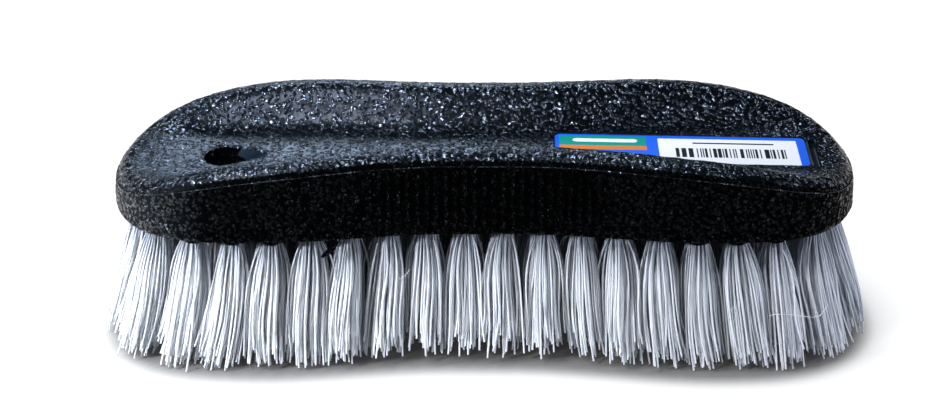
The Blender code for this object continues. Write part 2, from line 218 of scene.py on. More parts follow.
# polypropylene, injection moulded against an etched leather texture: pebbles with narrow dark
# valleys, each shoulder catching a small sharp glint of the lamps; the valleys are darker in colour
# and reflect less, a painted shade. By the photograph's glints the pebbles are near 0.9 mm wide,
# but ones that fine average out in the render, so they are drawn a little over a millimetre wide.
# Leaning is how steeply they slant, dull the roughness of the valleys, and the last argument how
# many times glossier the end with the hole is, a painted sheen for the light that falls on that end
def mouldedLeather(name, pebble, depth, leaning, shades, gloss, dull, sheen, paintedEndSheen):
    finish, tree, shader = newFinish(name)
    place = addNode(tree, "TexCoord").outputs["Object"]
    warp = addNode(tree, "TexNoise", {"Scale": perMetre(pebble * 1.3), "Detail": 3.0}, {"Vector": place})
    nudged = addNode(
        tree, "MixRGB", {"Fac": pebble * 1.6}, {"Color1": place, "Color2": warp.outputs["Color"]},
        blend_type="ADD",
    )
    cells = addNode(
        tree, "TexVoronoi", {"Scale": perMetre(pebble)}, {"Vector": nudged.outputs[0]}, feature="F1",
    )
    domes = addNode(
        tree, "MapRange", {"From Min": 0.62, "From Max": 0.28}, {"Value": cells.outputs["Distance"]},
        interpolation_type="SMOOTHSTEP",
    )
    # every pebble leans its own way, so one catches the lamp while the next stays dark
    spot = addNode(
        tree, "VectorMath", {}, {0: nudged.outputs[0], 1: cells.outputs["Position"]}, operation="SUBTRACT",
    )
    lean = addNode(
        tree, "VectorMath", {1: (0.5, 0.5, 0.5)}, {0: cells.outputs["Color"]}, operation="SUBTRACT",
    )
    tilt = addNode(
        tree, "VectorMath", {}, {0: spot.outputs[0], 1: lean.outputs[0]}, operation="DOT_PRODUCT",
    )
    tilted = addNode(
        tree, "Math", {1: leaning / pebble, 2: 1.0}, {0: tilt.outputs["Value"]}, operation="MULTIPLY_ADD",
    )
    pebbles = addNode(tree, "Math", {}, {0: domes.outputs[0], 1: tilted.outputs[0]}, operation="MULTIPLY")
    pits = addNode(tree, "TexNoise", {"Scale": perMetre(pebble * 0.5), "Detail": 2.0}, {"Vector": place})
    relief = addNode(
        tree, "Math", {1: 0.25}, {0: pits.outputs["Fac"], 2: pebbles.outputs[0]}, operation="MULTIPLY_ADD",
    )
    bump = addNode(tree, "Bump", {"Strength": 1.0, "Distance": depth}, {"Height": relief.outputs[0]})
    patches = addNode(tree, "TexNoise", {"Scale": perMetre(9 * mm), "Detail": 4.0}, {"Vector": place})
    worn = addNode(
        tree, "MapRange", {"From Min": 0.3, "From Max": 0.7, "To Min": gloss[0], "To Max": gloss[1]},
        {"Value": patches.outputs["Fac"]},
    )
    # the etched valleys stay dull between the polished tops, and reflect less there as painted shade
    crown = addNode(tree, "MapRange", {"From Min": 0.1, "From Max": 0.8}, {"Value": domes.outputs[0]})
    shine = addNode(
        tree, "MapRange", {"To Min": dull}, {"Value": crown.outputs[0], "To Max": worn.outputs[0]},
    )
    mirror = addNode(
        tree, "MapRange", {"To Min": 0.1 * sheen, "To Max": sheen}, {"Value": crown.outputs[0]},
    )
    # painted sheen: the end with the hole is made glossier, for the light that falls on that end
    along = addNode(tree, "SeparateXYZ", {}, {"Vector": place})
    paintedEndSheenRamp = addNode(
        tree, "MapRange", {"From Min": -70 * mm, "From Max": -98 * mm, "To Min": 1.0, "To Max": paintedEndSheen},
        {"Value": along.outputs["X"]}, interpolation_type="SMOOTHSTEP",
    )
    mirror = addNode(
        tree, "Math", {}, {0: mirror.outputs[0], 1: paintedEndSheenRamp.outputs[0]}, operation="MULTIPLY",
    )
    # painted shade: the base colour darkens from the pebble tops into the valleys
    body = addNode(
        tree, "MixRGB", {"Color1": hexColour(shades[0]), "Color2": hexColour(shades[1])},
        {"Fac": domes.outputs[0]},
    )
    tree.links.new(body.outputs[0], shader.inputs["Base Color"])
    tree.links.new(shine.outputs[0], shader.inputs["Roughness"])
    tree.links.new(bump.outputs[0], shader.inputs["Normal"])
    # above the bare plastic's 1.49, to match the object's gloss
    shader.inputs["IOR"].default_value = 1.6
    tree.links.new(mirror.outputs[0], shader.inputs["Specular IOR Level"])
    shader.inputs["Specular Tint"].default_value = hexColour("#dbe9ff")
    return finish


# the same plastic where the mould was only polished, smooth with a faint flow and a soft gloss:
# the hole's ramp, the label seat, the groove and the underside
def mouldedPlain():
    finish, tree, shader = newFinish("polypropylenePlain")
    place = addNode(tree, "TexCoord").outputs["Object"]
    flow = addNode(tree, "TexNoise", {"Scale": perMetre(2.5 * mm), "Detail": 4.0}, {"Vector": place})
    bump = addNode(tree, "Bump", {"Strength": 0.5, "Distance": 0.06 * mm}, {"Height": flow.outputs["Fac"]})
    gloss = addNode(
        tree, "MapRange", {"To Min": 0.38, "To Max": 0.55}, {"Value": flow.outputs["Fac"]},
    )
    shader.inputs["Base Color"].default_value = hexColour("#07121b")
    tree.links.new(gloss.outputs[0], shader.inputs["Roughness"])
    tree.links.new(bump.outputs[0], shader.inputs["Normal"])
    shader.inputs["IOR"].default_value = 1.49
    shader.inputs["Specular IOR Level"].default_value = 0.07
    return finish


# nylon filament, drawn: milky white with a cool cast and long thin glints down each strand
def drawnFilament():
    finish, tree, shader = newFinish("nylonFilamentDrawn")
    place = addNode(tree, "TexCoord").outputs["Object"]
    # 0.6 mm across and 30 mm along, so neighbouring strands differ and each keeps its own tone
    strand = addNode(
        tree, "Mapping", {"Scale": (perMetre(0.6 * mm), perMetre(0.6 * mm), perMetre(30 * mm))},
        {"Vector": place},
    )
    tone = addNode(tree, "TexNoise", {"Scale": 1.0, "Detail": 2.0}, {"Vector": strand.outputs[0]})
    body = addNode(
        tree, "MixRGB", {"Color1": hexColour("#dfe5ec"), "Color2": hexColour("#f8fafc")},
        {"Fac": tone.outputs["Fac"]},
    )
    # painted shade: greyer towards the block, where the block shades the roots
    height = addNode(tree, "SeparateXYZ", {}, {"Vector": place})
    near = addNode(
        tree, "MapRange", {"From Min": 24 * mm, "From Max": 38 * mm}, {"Value": height.outputs["Z"]},
    )
    body = addNode(
        tree, "MixRGB", {"Color2": hexColour("#7d848f")}, {"Fac": near.outputs[0], "Color1": body.outputs[0]},
    )
    gloss = addNode(
        tree, "MapRange", {"To Min": 0.36, "To Max": 0.55}, {"Value": tone.outputs["Fac"]},
    )
    tree.links.new(body.outputs[0], shader.inputs["Base Color"])
    tree.links.new(gloss.outputs[0], shader.inputs["Roughness"])
    shader.inputs["IOR"].default_value = 1.53
    shader.inputs["Specular IOR Level"].default_value = 0.35
    # light goes a little way into the nylon
    shader.inputs["Subsurface Weight"].default_value = 0.6
    shader.inputs["Subsurface Radius"].default_value = (1.0, 1.0, 1.0)
    shader.inputs["Subsurface Scale"].default_value = 1.2 * mm
    return finish


# label stock, offset printed: flat dull colour with a faint paper tooth
def printedInk(name, code, roughness=0.5):
    finish, tree, shader = newFinish(name)
    place = addNode(tree, "TexCoord").outputs["Object"]
    tooth = addNode(tree, "TexNoise", {"Scale": perMetre(0.5 * mm), "Detail": 3.0}, {"Vector": place})
    shade = hexColour(code)
    worn = addNode(
        tree, "MixRGB", {"Color1": (*[0.86 * part for part in shade[:3]], 1.0), "Color2": shade},
        {"Fac": tooth.outputs["Fac"]},
    )
    bump = addNode(tree, "Bump", {"Strength": 0.3, "Distance": 0.02 * mm}, {"Height": tooth.outputs["Fac"]})
    gloss = addNode(
        tree, "MapRange", {"To Min": roughness - 0.06, "To Max": roughness + 0.08},
        {"Value": tooth.outputs["Fac"]},
    )
    tree.links.new(worn.outputs[0], shader.inputs["Base Color"])
    tree.links.new(gloss.outputs[0], shader.inputs["Roughness"])
    tree.links.new(bump.outputs[0], shader.inputs["Normal"])
    shader.inputs["Specular IOR Level"].default_value = 0.06
    return finish


leatherTop = mouldedLeather(
    "polypropyleneLeatherTop", pebble=1.15 * mm, depth=0.26 * mm, leaning=3.4, shades=("#030507", "#0a131b"),
    gloss=(0.12, 0.19), dull=0.30, sheen=1.0, paintedEndSheen=1.0,
)
# painted shade: the side is the same plastic as the top, made blacker and far less glossy for the
# faces that the lamps barely reach
leatherShadedSide = mouldedLeather(
    "polypropyleneLeatherShaded", pebble=1.1 * mm, depth=0.50 * mm, leaning=5.0, shades=("#010101", "#010202"),
    gloss=(0.06, 0.10), dull=0.50, sheen=0.042, paintedEndSheen=20.0,
)
plainPlastic = mouldedPlain()
filament = drawnFilament()
inkBlue = printedInk("labelInkBlue", "#1f62e2")
inkGreen = printedInk("labelInkGreen", "#128f84")
inkOrange = printedInk("labelInkOrange", "#d07a2c")
inkWhite = printedInk("labelStockWhite", "#eceef1")
inkBlack = printedInk("labelInkBlack", "#15161a")
print("materials made")


# the block's form
form = {
    "halfLength": 100 * mm, "foot": 38 * mm,
    "shoulderWidth": 66 * mm, "waistWidth": 54.3 * mm, "waistFlat": 8 * mm, "shoulderAt": 62 * mm,
    "endRounding": 70 * mm, "endPower": 6.0, "spineHalf": 66 * mm,
    "rimHeight": 22 * mm, "rimLabelEnd": 10.2 * mm, "rimHoleEnd": 9.5 * mm, "rimPower": 3.4, "crown": 1 * mm,
    "floorHeight": 14.1 * mm, "floorLabelEnd": 12.5 * mm, "floorHoleEnd": 10.8 * mm, "floorPower": 2.5,
    "edgeRadius": 2.5 * mm, "edgeRadiusEnd": 4.5 * mm, "edgePower": 4.0,
    "crest": 6.5 * mm, "trough": 17.2 * mm, "footChamfer": 0.8 * mm, "partingDrop": 2.2 * mm,
}


def smoothStep(low, high, value):
    share = np.clip((value - low) / (high - low), 0, 1)
    return share * share * (3 - 2 * share)


def swell(x):
    # 0 at the waist, 1 from the shoulders on
    return smoothStep(form["waistFlat"], form["shoulderAt"], np.abs(x))


def halfWidth(x):
    side = form["waistWidth"] + (form["shoulderWidth"] - form["waistWidth"]) * swell(x)
    along = np.maximum(np.abs(x) - form["halfLength"] + form["endRounding"], 0) / form["endRounding"]
    return side / 2 * np.sqrt(np.maximum(1 - along ** form["endPower"], 0))


def edgeHeight(x):
    end = np.where(x < 0, form["rimHoleEnd"], form["rimLabelEnd"])
    drop = (form["rimHeight"] - end) * (np.abs(x) / form["halfLength"]) ** form["rimPower"]
    return form["rimHeight"] - drop


def edgeRadius(x):
    growth = (np.abs(x) / form["halfLength"]) ** form["edgePower"]
    return form["edgeRadius"] + (form["edgeRadiusEnd"] - form["edgeRadius"]) * growth


def floorHeight(x):
    end = np.where(x < 0, form["floorHoleEnd"], form["floorLabelEnd"])
    rise = np.maximum(1 - (x / form["halfLength"]) ** 2, 0) ** form["floorPower"]
    return end + (form["floorHeight"] - end) * rise


def topHeight(edgeX, x, inset):
    low = floorHeight(x)
    rim = edgeHeight(edgeX) + form["crown"] * np.sin(np.pi / 2 * np.minimum(inset / form["crest"], 1)) - low
    height = low + rim * (1 - smoothStep(form["crest"], form["trough"], inset))
    radius = edgeRadius(edgeX)
    left = np.maximum(radius - inset, 0)
    return height - (radius - np.sqrt(radius**2 - left**2))


def inwardBy(outline, inset):
    # towards the spine, as the frame measures its insets
    x, y = outline[:, 0], outline[:, 1]
    spineX = np.clip(x, -form["spineHalf"], form["spineHalf"])
    keep = 1 - inset / np.hypot(x - spineX, y)
    return np.stack([spineX + (x - spineX) * keep, y * keep], 1)


def outlinePoints(columns):
    # evenly spaced round the block, the -Y half a mirror of the +Y half
    turn = np.linspace(0, np.pi, 4001)
    x = form["halfLength"] * np.cos(turn)
    y = halfWidth(x)
    run = np.concatenate([[0], np.cumsum(np.hypot(np.diff(x), np.diff(y)))])
    steps = np.linspace(0, run[-1], columns // 2 + 1)
    upper = np.stack([np.interp(steps, run, x), np.interp(steps, run, y)], 1)
    upper[0] = (form["halfLength"], 0)
    upper[-1] = (-form["halfLength"], 0)
    lower = upper[1:-1][::-1] * (1, -1)
    return np.concatenate([upper, lower])


def gapTo(outline, places):
    # how far each place lies from the outline, seen from above
    gap = np.full(len(places), np.inf)
    for point in outline:
        gap = np.minimum(gap, np.hypot(places[:, 0] - point[0], places[:, 1] - point[1]))
    return gap


def drapedRings(name, rows, grainShare=None):
    # a circle drawn out ring by ring, then every ring laid on its own row of points; the
    # share of grain that each point takes is kept as a vertex group
    columns = rows.shape[1]
    nothingSelected()
    bpy.ops.mesh.primitive_circle_add(vertices=columns, radius=1.0, fill_type="NOTHING")
    piece = named(name)
    startEditing("SELECT")
    for ring in range(1, len(rows)):
        grow = (10 + ring) / (9 + ring)
        bpy.ops.mesh.extrude_region_move()
        bpy.ops.transform.resize(value=(grow, grow, 1), center_override=(0, 0, 0))
    stopEditing()
    flat = pointsOf(piece)
    ring = np.rint((np.hypot(flat[:, 0], flat[:, 1]) - 1) * 10).astype(int)
    column = np.rint(np.arctan2(flat[:, 1], flat[:, 0]) / (2 * np.pi) * columns).astype(int) % columns
    placePoints(piece, rows[ring, column])
    if grainShare is not None:
        group = piece.vertex_groups.new(name="grain")
        for index, share in enumerate(grainShare[ring, column]):
            group.add([index], float(share), "REPLACE")
    return piece


def tidyShell(piece):
    pickOnly(piece)
    startEditing("SELECT")
    bpy.ops.mesh.remove_doubles(threshold=0.01 * mm)
    bpy.ops.mesh.normals_make_consistent(inside=False)
    stopEditing()


def closedRings(name, rows):
    piece = drapedRings(name, rows)
    startEditing("SELECT")
    bpy.ops.mesh.fill_holes(sides=0)
    stopEditing()
    tidyShell(piece)
    return piece


def grain(piece, name, size, depth):
    # lumps and hollows cut mostly inwards, so the block keeps its outer size
    pattern = bpy.data.textures.new(name, "CLOUDS")
    pattern.noise_scale = size
    pattern.noise_depth = 1
    applied(
        piece, "DISPLACE", texture=pattern, texture_coords="LOCAL", direction="NORMAL", strength=depth,
        mid_level=0.8, vertex_group="grain",
    )


# upper shell: from the parting line over the rim and down to the trough
upperShell = {
    "columns": 320, "roundingRings": 4, "slopeRings": 5, "floorRings": 6, "ledge": 0.5 * mm,
    "ledgeDrop": 0.05 * mm, "lumpSize": 2.4 * mm, "lumpDepth": 0.28 * mm, "pebbleSize": 1.2 * mm,
    "pebbleDepth": 0.12 * mm, "coreInset": 2.6 * mm, "coreFoot": 4.2 * mm, "darkShare": 0.36,
}

# hanging hole: a section is its centre, radius, half width, tail and the tail's half width, and
# above and below are how far the cutter reaches past the trough and the foot
holeForm = {
    "mouth": (-70.6 * mm, 5.3 * mm, 6.3 * mm, 11.5 * mm, 5.2 * mm),
    "ramp": (-70.6 * mm, 5.0 * mm, 6.0 * mm, 6.3 * mm, 5.0 * mm),
    "shaft": (-70.6 * mm, 4.6 * mm, 4.6 * mm, 5.9 * mm, 4.6 * mm),
    "foot": (-73.4 * mm, 3.3 * mm, 3.3 * mm, 3.3 * mm, 3.3 * mm),
    "columns": 96, "above": 3 * mm, "rampDepth": 2.2 * mm, "rampFrom": -66.5 * mm, "shaftDepth": 6.0 * mm,
    "below": 2 * mm, "rimWidth": 1.2 * mm, "rimDrop": 0.55 * mm,
}


def tearDrop(section):
    centreX, radius, halfWide, tail, tailHalfWide = holeForm[section]
    turn = np.arange(holeForm["columns"]) * 2 * np.pi / holeForm["columns"]
    ahead = np.maximum(np.cos(turn), 0) ** 2
    reach = radius + (tail - radius) * ahead
    side = halfWide + (tailHalfWide - halfWide) * ahead
    return np.stack([centreX + reach * np.cos(turn), side * np.sin(turn)], 1)


def withHeight(flat, height):
    return np.column_stack([flat, np.broadcast_to(height, len(flat))])


def shellRows(outline):
    edgeX = outline[:, 0]
    radius = edgeRadius(edgeX)
    start = np.arcsin(np.clip(1 - form["partingDrop"] / radius, 0, 1))
    insets = []
    for step in range(upperShell["roundingRings"] + 1):
        turn = start + (np.pi / 2 - start) * step / upperShell["roundingRings"]
        insets.append(radius * (1 - np.cos(turn)))
    insets.append((radius + form["crest"]) / 2)
    slope = form["trough"] - form["crest"]
    for step in range(upperShell["slopeRings"] + 1):
        insets.append(np.full(len(edgeX), form["crest"] + slope * step / upperShell["slopeRings"]))
    spineX = np.clip(edgeX, -form["spineHalf"], form["spineHalf"])
    away = np.hypot(edgeX - spineX, outline[:, 1])
    for step in range(1, upperShell["floorRings"] + 1):
        insets.append(form["trough"] + (away - form["trough"]) * step / upperShell["floorRings"])
    rows = []
    for inset in insets:
        flat = inwardBy(outline, inset)
        rows.append(withHeight(flat, form["foot"] + topHeight(edgeX, flat[:, 0], inset)))
    ledge = inwardBy(outline, insets[0] + upperShell["ledge"])
    rows.insert(0, withHeight(ledge, rows[0][:, 2] - upperShell["ledgeDrop"]))
    return np.array(rows)


def holeCutter():
    # the mouth, a polished ramp under its tail, then a shaft that narrows to the round hole at the foot
    top = form["foot"] + floorHeight(holeForm["mouth"][0])
    cutter = closedRings("holeCutter", np.array([
        withHeight(tearDrop("foot"), form["foot"] - holeForm["below"]),
        withHeight(tearDrop("foot"), form["foot"]),
        withHeight(tearDrop("shaft"), top - holeForm["shaftDepth"]),
        withHeight(tearDrop("ramp"), top - holeForm["rampDepth"]),
        withHeight(tearDrop("mouth"), top),
        withHeight(tearDrop("mouth"), top + holeForm["above"]),
    ]))
    # painted shade: the shaft wears the blacker side material, the ramp under the tail the plain plastic
    wear(cutter, leatherShadedSide)
    cutter.data.materials.append(plainPlastic)
    for face in cutter.data.polygons:
        high = face.center.z > top - holeForm["rampDepth"]
        face.material_index = int(high and face.center.x > holeForm["rampFrom"])
    return cutter


def softenHoleRim(piece):
    places = pointsOf(piece)
    near = np.clip(1 - gapTo(tearDrop("mouth"), places) / holeForm["rimWidth"], 0, 1)
    places[:, 2] -= holeForm["rimDrop"] * near**2
    placePoints(piece, places)


# the label, its seat and the groove beyond its end
labelForm = {
    "start": 18.2 * mm, "stop": 87.2 * mm, "halfWidth": 10.2 * mm, "sunk": 0.4 * mm, "thick": 0.3 * mm,
    "sideClear": 0.5 * mm, "endClear": 3.2 * mm, "seatGap": 0.3 * mm, "corner": 3.3 * mm,
    "grooveFrom": 88.2 * mm, "grooveTo": 90.2 * mm, "grooveHalf": 8.8 * mm, "grooveDepth": 1.5 * mm,
    "grooveCorner": 0.5 * mm, "cutterTall": 12 * mm,
}


def labelHeight(x):
    first, last = labelForm["start"], labelForm["stop"]
    low, high = floorHeight(last), floorHeight(first)
    return form["foot"] + high + (low - high) / (last - first) * (x - first) - labelForm["sunk"]


def seatCutter(name, x0, x1, half, depth, corner):
    nothingSelected()
    bpy.ops.mesh.primitive_cube_add(size=1.0, location=(0, 0, 0))
    cutter = named(name)
    cutter.scale = (x1 - x0, 2 * half, labelForm["cutterTall"])
    cutter.location = ((x0 + x1) / 2, 0, labelForm["cutterTall"] / 2)
    settled()
    startEditing("DESELECT")
    stopEditing()
    for edge in cutter.data.edges:
        a, b = (cutter.data.vertices[index].co for index in edge.vertices)
        edge.select = abs(a.z - b.z) > 1 * mm  # the upright ones
    startEditing()
    bpy.ops.mesh.select_mode(type="EDGE")
    bpy.ops.mesh.bevel(offset=corner, segments=8, affect="EDGES")
    bpy.ops.mesh.select_mode(type="VERT")
    stopEditing()
    places = pointsOf(cutter)
    places[:, 2] += labelHeight(places[:, 0]) - depth
    placePoints(cutter, places)
    wear(cutter, plainPlastic)
    return cutter


def paintShadeOnRounding(piece, outline):
    # painted shade: the blacker side material reaches from the parting line half way round the rim's edge
    centres = np.empty(len(piece.data.polygons) * 3)
    piece.data.polygons.foreach_get("center", centres)
    centres = centres.reshape(-1, 3)
    x = np.clip(centres[:, 0], -form["halfLength"], form["halfLength"])
    dark = gapTo(outline, centres) < upperShell["darkShare"] * edgeRadius(x)
    piece.data.materials.append(leatherShadedSide)
    piece.data.polygons.foreach_set("material_index", dark.astype(np.int32))


def makeUpperShell():
    outline = outlinePoints(upperShell["columns"])
    rows = shellRows(outline)
    share = np.ones(rows.shape[:2])
    # no grain at the parting line, and half of it on the next ring
    share[:2] = 0
    share[2] = 0.5
    piece = drapedRings("blockTop", rows, share)
    tidyShell(piece)
    applied(piece, "SUBSURF", levels=2, render_levels=2)
    wear(piece, leatherTop)
    softenHoleRim(piece)
    grain(piece, "lumpGrain", upperShell["lumpSize"], upperShell["lumpDepth"])
    grain(piece, "pebbleGrain", upperShell["pebbleSize"], upperShell["pebbleDepth"])
    # close the shell underneath with a core, clear of the wall belt and the tuft plate
    pickOnly(piece)
    startEditing("DESELECT")
    bpy.ops.mesh.select_non_manifold()
    bpy.ops.mesh.extrude_region_move()
    stopEditing()
    places = pointsOf(piece)
    picked = np.array([vertex.select for vertex in piece.data.vertices])
    ring = places[picked, :2]
    places[picked, :2] = ring * (1 - upperShell["coreInset"] / np.hypot(ring[:, 0], ring[:, 1]))[:, None]
    placePoints(piece, places)
    startEditing()
    bpy.ops.mesh.extrude_region_move()
    stopEditing()
    places = pointsOf(piece)
    picked = np.array([vertex.select for vertex in piece.data.vertices])
    places[picked, 2] = form["foot"] + upperShell["coreFoot"]
    placePoints(piece, places)
    startEditing()
    bpy.ops.mesh.edge_face_add()
    stopEditing()
    tidyShell(piece)
    paintShadeOnRounding(piece, outline)
    cutWith(piece, holeCutter())
    cutWith(piece, seatCutter("seatCutter", labelForm["start"] - labelForm["sideClear"],
                              labelForm["stop"] + labelForm["endClear"],
                              labelForm["halfWidth"] + labelForm["sideClear"],
                              labelForm["thick"] + labelForm["seatGap"], labelForm["corner"]))
    cutWith(piece, seatCutter("grooveCutter", labelForm["grooveFrom"], labelForm["grooveTo"],
                              labelForm["grooveHalf"], labelForm["grooveDepth"], labelForm["grooveCorner"]))
    smoothShade(piece, 40)
    ready(piece, ["brush_block"])
    return piece


blockTop = makeUpperShell()
print("upper shell:", len(blockTop.data.polygons), "faces")

# grip ribs: upright, on both sides of the waist
gripRibs = {
    "fieldHalf": 30 * mm, "pitch": 2.5 * mm, "width": 1.1 * mm, "proud": 0.45 * mm, "buried": 0.6 * mm,
    "footGap": 1.8 * mm, "topGap": 3.2 * mm, "rounding": 0.28 * mm,
}

# wall belt: from the foot to the parting line, with coarser grain
wallBelt = {
    "columns": 300, "bands": 9, "depth": 1.6 * mm, "step": 0.10 * mm, "seam": 0.02 * mm, "ribShare": 0.3,
    "crease": 0.2 * mm, "grainSize": 1.3 * mm, "grainDepth": 0.16 * mm,
    "lumpSize": 3.0 * mm, "lumpDepth": 0.45 * mm,
}


def makeWallBelt():
    outline = outlinePoints(wallBelt["columns"])
    edgeX = outline[:, 0]
    radius = edgeRadius(edgeX)
    top = edgeHeight(edgeX) - form["partingDrop"] - wallBelt["seam"]
    chamfer = form["footChamfer"]
    still = np.zeros(len(edgeX))
    crease = wallBelt["crease"]
    rows = [
        withHeight(inwardBy(outline, still + chamfer + wallBelt["depth"]), form["foot"]),
        withHeight(inwardBy(outline, still + chamfer + crease), form["foot"]),
        withHeight(inwardBy(outline, still + chamfer), form["foot"]),
        withHeight(inwardBy(outline, still), form["foot"] + chamfer),
        withHeight(inwardBy(outline, still), form["foot"] + chamfer + crease),
    ]
    for step in range(1, wallBelt["bands"] + 1):
        height = chamfer + (top - chamfer) * step / wallBelt["bands"]
        under = np.maximum(radius - (edgeHeight(edgeX) - height), 0)
        inset = radius - np.sqrt(radius**2 - under**2) + wallBelt["step"] * step / wallBelt["bands"]
        rows.append(withHeight(inwardBy(outline, inset), form["foot"] + height))
    rows.append(withHeight(inwardBy(outline, inset + crease), form["foot"] + top))
    rows.append(withHeight(inwardBy(outline, inset + wallBelt["depth"]), form["foot"] + top))
    share = np.ones((len(rows), len(outline)))
    share[:, np.abs(edgeX) < gripRibs["fieldHalf"]] = wallBelt["ribShare"]
    share[[0, 1, 2, -3, -2, -1]] = 0  # none at the foot and the parting line
    piece = drapedRings("blockWall", np.array(rows), share)
    tidyShell(piece)
    applied(piece, "SUBSURF", levels=2, render_levels=2)
    grain(piece, "wallLumps", wallBelt["lumpSize"], wallBelt["lumpDepth"])
    grain(piece, "wallGrain", wallBelt["grainSize"], wallBelt["grainDepth"])
    pickOnly(piece)
    startEditing("DESELECT")
    bpy.ops.mesh.select_non_manifold()
    bpy.ops.mesh.bridge_edge_loops()
    stopEditing()
    tidyShell(piece)
    wear(piece, leatherShadedSide)
    smoothShade(piece, 50)
    ready(piece)
    return piece


blockWall = makeWallBelt()
print("wall belt:", len(blockWall.data.polygons), "faces")

# parting flash: the thin uneven bead that the mould halves leave between top and wall
partingFlash = {
    "columns": 900, "radius": 0.18 * mm, "least": 0.05 * mm, "startShare": 0.5, "change": 0.3,
    "clearShare": 1.2, "seed": 11,
}


def makePartingFlash():
    outline = outlinePoints(partingFlash["columns"])
    edgeX = outline[:, 0]
    radius = edgeRadius(edgeX)
    under = np.maximum(radius - form["partingDrop"], 0)
    flat = inwardBy(outline, radius - np.sqrt(radius**2 - under**2))
    widest = frameBox[1].y - partingFlash["clearShare"] * partingFlash["radius"]
    flat[:, 1] = np.clip(flat[:, 1], -widest, widest)
    height = form["foot"] + edgeHeight(edgeX) - form["partingDrop"]
    # its thickness wanders along the line
    chance = random.Random(partingFlash["seed"])
    least = partingFlash["least"] / partingFlash["radius"]
    share = partingFlash["startShare"]
    shares = []
    for _ in flat:
        share = min(max(share + chance.uniform(-partingFlash["change"], partingFlash["change"]), least), 1.0)
        shares.append(share)
    piece = newTube("partingFlash", partingFlash["radius"], fineness=2, capped=False)
    addStrand(piece, withHeight(flat, height), shares).use_cyclic_u = True
    piece = tubeMesh(piece, leatherTop)
    smoothShade(piece, 60)
    ready(piece)


makePartingFlash()
print("parting flash made")


def makeGripRibs():
    deep = gripRibs["proud"] + gripRibs["buried"]
    tall = form["rimHeight"] - gripRibs["topGap"] - gripRibs["footGap"]
    nothingSelected()
    bpy.ops.mesh.primitive_cube_add(size=1.0, location=(0, 0, 0))
    pattern = named("gripRibPattern")
    pattern.scale = (gripRibs["width"], deep, tall)
    settled()
    startEditing("SELECT")
    bpy.ops.mesh.bevel(offset=gripRibs["rounding"], segments=3, affect="EDGES")
    stopEditing()
    ribs = []
    count = int(2 * gripRibs["fieldHalf"] / gripRibs["pitch"]) + 1
    low = form["foot"] + gripRibs["footGap"]
    for side in (-1, 1):
        for index in range(count):
            x = (index - (count - 1) / 2) * gripRibs["pitch"]
            lean = math.atan2(halfWidth(x + mm) - halfWidth(x - mm), 2 * mm)
            high = form["foot"] + float(edgeHeight(x)) - gripRibs["topGap"]
            middle = float(halfWidth(x)) + gripRibs["proud"] - deep / 2
            ribs.append(copyOf(pattern, (x, side * middle, (low + high) / 2), (0, 0, side * lean),
                               (1, 1, (high - low) / tall)))
    bpy.data.objects.remove(pattern, do_unlink=True)
    piece = joined("gripRibs", ribs)
    wear(piece, leatherShadedSide)
    smoothShade(piece, 50)
    ready(piece)


makeGripRibs()
print("grip ribs made")

# tufts: outer and middle places in each row, a staggered pair beside them
tuftForm = {
    "rows": 18, "pitch": 10.2 * mm, "firstX": -86.7 * mm, "outerInset": 5.8 * mm, "holeRow": 1, "seed": 23,
    "count": 118, "thick": 0.235 * mm, "segments": 9, "sunk": 2.6 * mm, "rootRadius": 2.3 * mm,
    "tipRadius": 5.7 * mm, "spread": (0.85, 1.12), "goldenTurn": 2.39996, "turnError": 0.25,
    "opening": 4.0, "bulge": (0.55, 0.9), "shortest": 7.5 * mm, "shortPower": 1.1, "tipGap": 0.12 * mm,
    "waistShort": 1.7 * mm, "fanShare": 0.068, "sideShare": 0.040, "endLean": 1.6 * mm, "leanFrom": 70 * mm,
    "driftPower": 1.5, "swayX": 0.7 * mm, "swayY": 0.4 * mm, "wave": 0.55 * mm, "waveSize": 1.5 * mm,
    "curlTurn": 1.7, "wander": 0.35 * mm, "strayShare": 0.05, "strayBend": 2.2,
    "softEdge": 3 * mm, "clear": 0.4 * mm,
}


def sideAt(x, inset):
    # the outline moved in along its normal, as the frame places its outer tufts
    turn = np.linspace(np.pi, 0, 401)
    xs = form["halfLength"] * np.cos(turn)
    ys = halfWidth(xs)
    runX, runY = np.gradient(xs), np.gradient(ys)
    length = np.hypot(runX, runY)
    movedX, movedY = xs + runY / length * inset, ys - runX / length * inset
    inside = movedY > 0
    return float(np.interp(x, movedX[inside], movedY[inside]))


def rowPlaces(row):
    x = tuftForm["firstX"] + row * tuftForm["pitch"]
    outer = sideAt(x, tuftForm["outerInset"])
    places = [(x, outer), (x, -outer)]
    if row != tuftForm["holeRow"]:
        places.append((x, 0.0))
    between = [x + tuftForm["pitch"] / 2] + ([x - tuftForm["pitch"] / 2] if row == 0 else [])
    for beside in between:
        half = sideAt(beside, tuftForm["outerInset"]) / 2
        places += [(beside, half), (beside, -half)]
    return places


def softLimit(value, reach):
    # tips that would pass the brush's outer size crowd up just inside it
    start = reach - tuftForm["softEdge"]
    if abs(value) <= start:
        return value
    over = (abs(value) - start) / tuftForm["softEdge"]
    return math.copysign(start + tuftForm["softEdge"] * math.tanh(over), value)


def newTuft(place, chance):
    x, y = place
    lean = tuftForm["endLean"] * float(smoothStep(tuftForm["leanFrom"], form["halfLength"], abs(x)))
    return {
        "place": place, "start": chance.uniform(0, 2 * math.pi),
        "bulge": chance.uniform(*tuftForm["bulge"]),
        "sway": (
            x * tuftForm["fanShare"] + math.copysign(lean, x) + chance.gauss(0, tuftForm["swayX"]),
            y * tuftForm["sideShare"] + chance.gauss(0, tuftForm["swayY"]),
        ),
        "phase": [chance.uniform(0, 2 * math.pi) for _ in range(4)],
        "short": tuftForm["waistShort"] * (1 - float(swell(x))),
    }


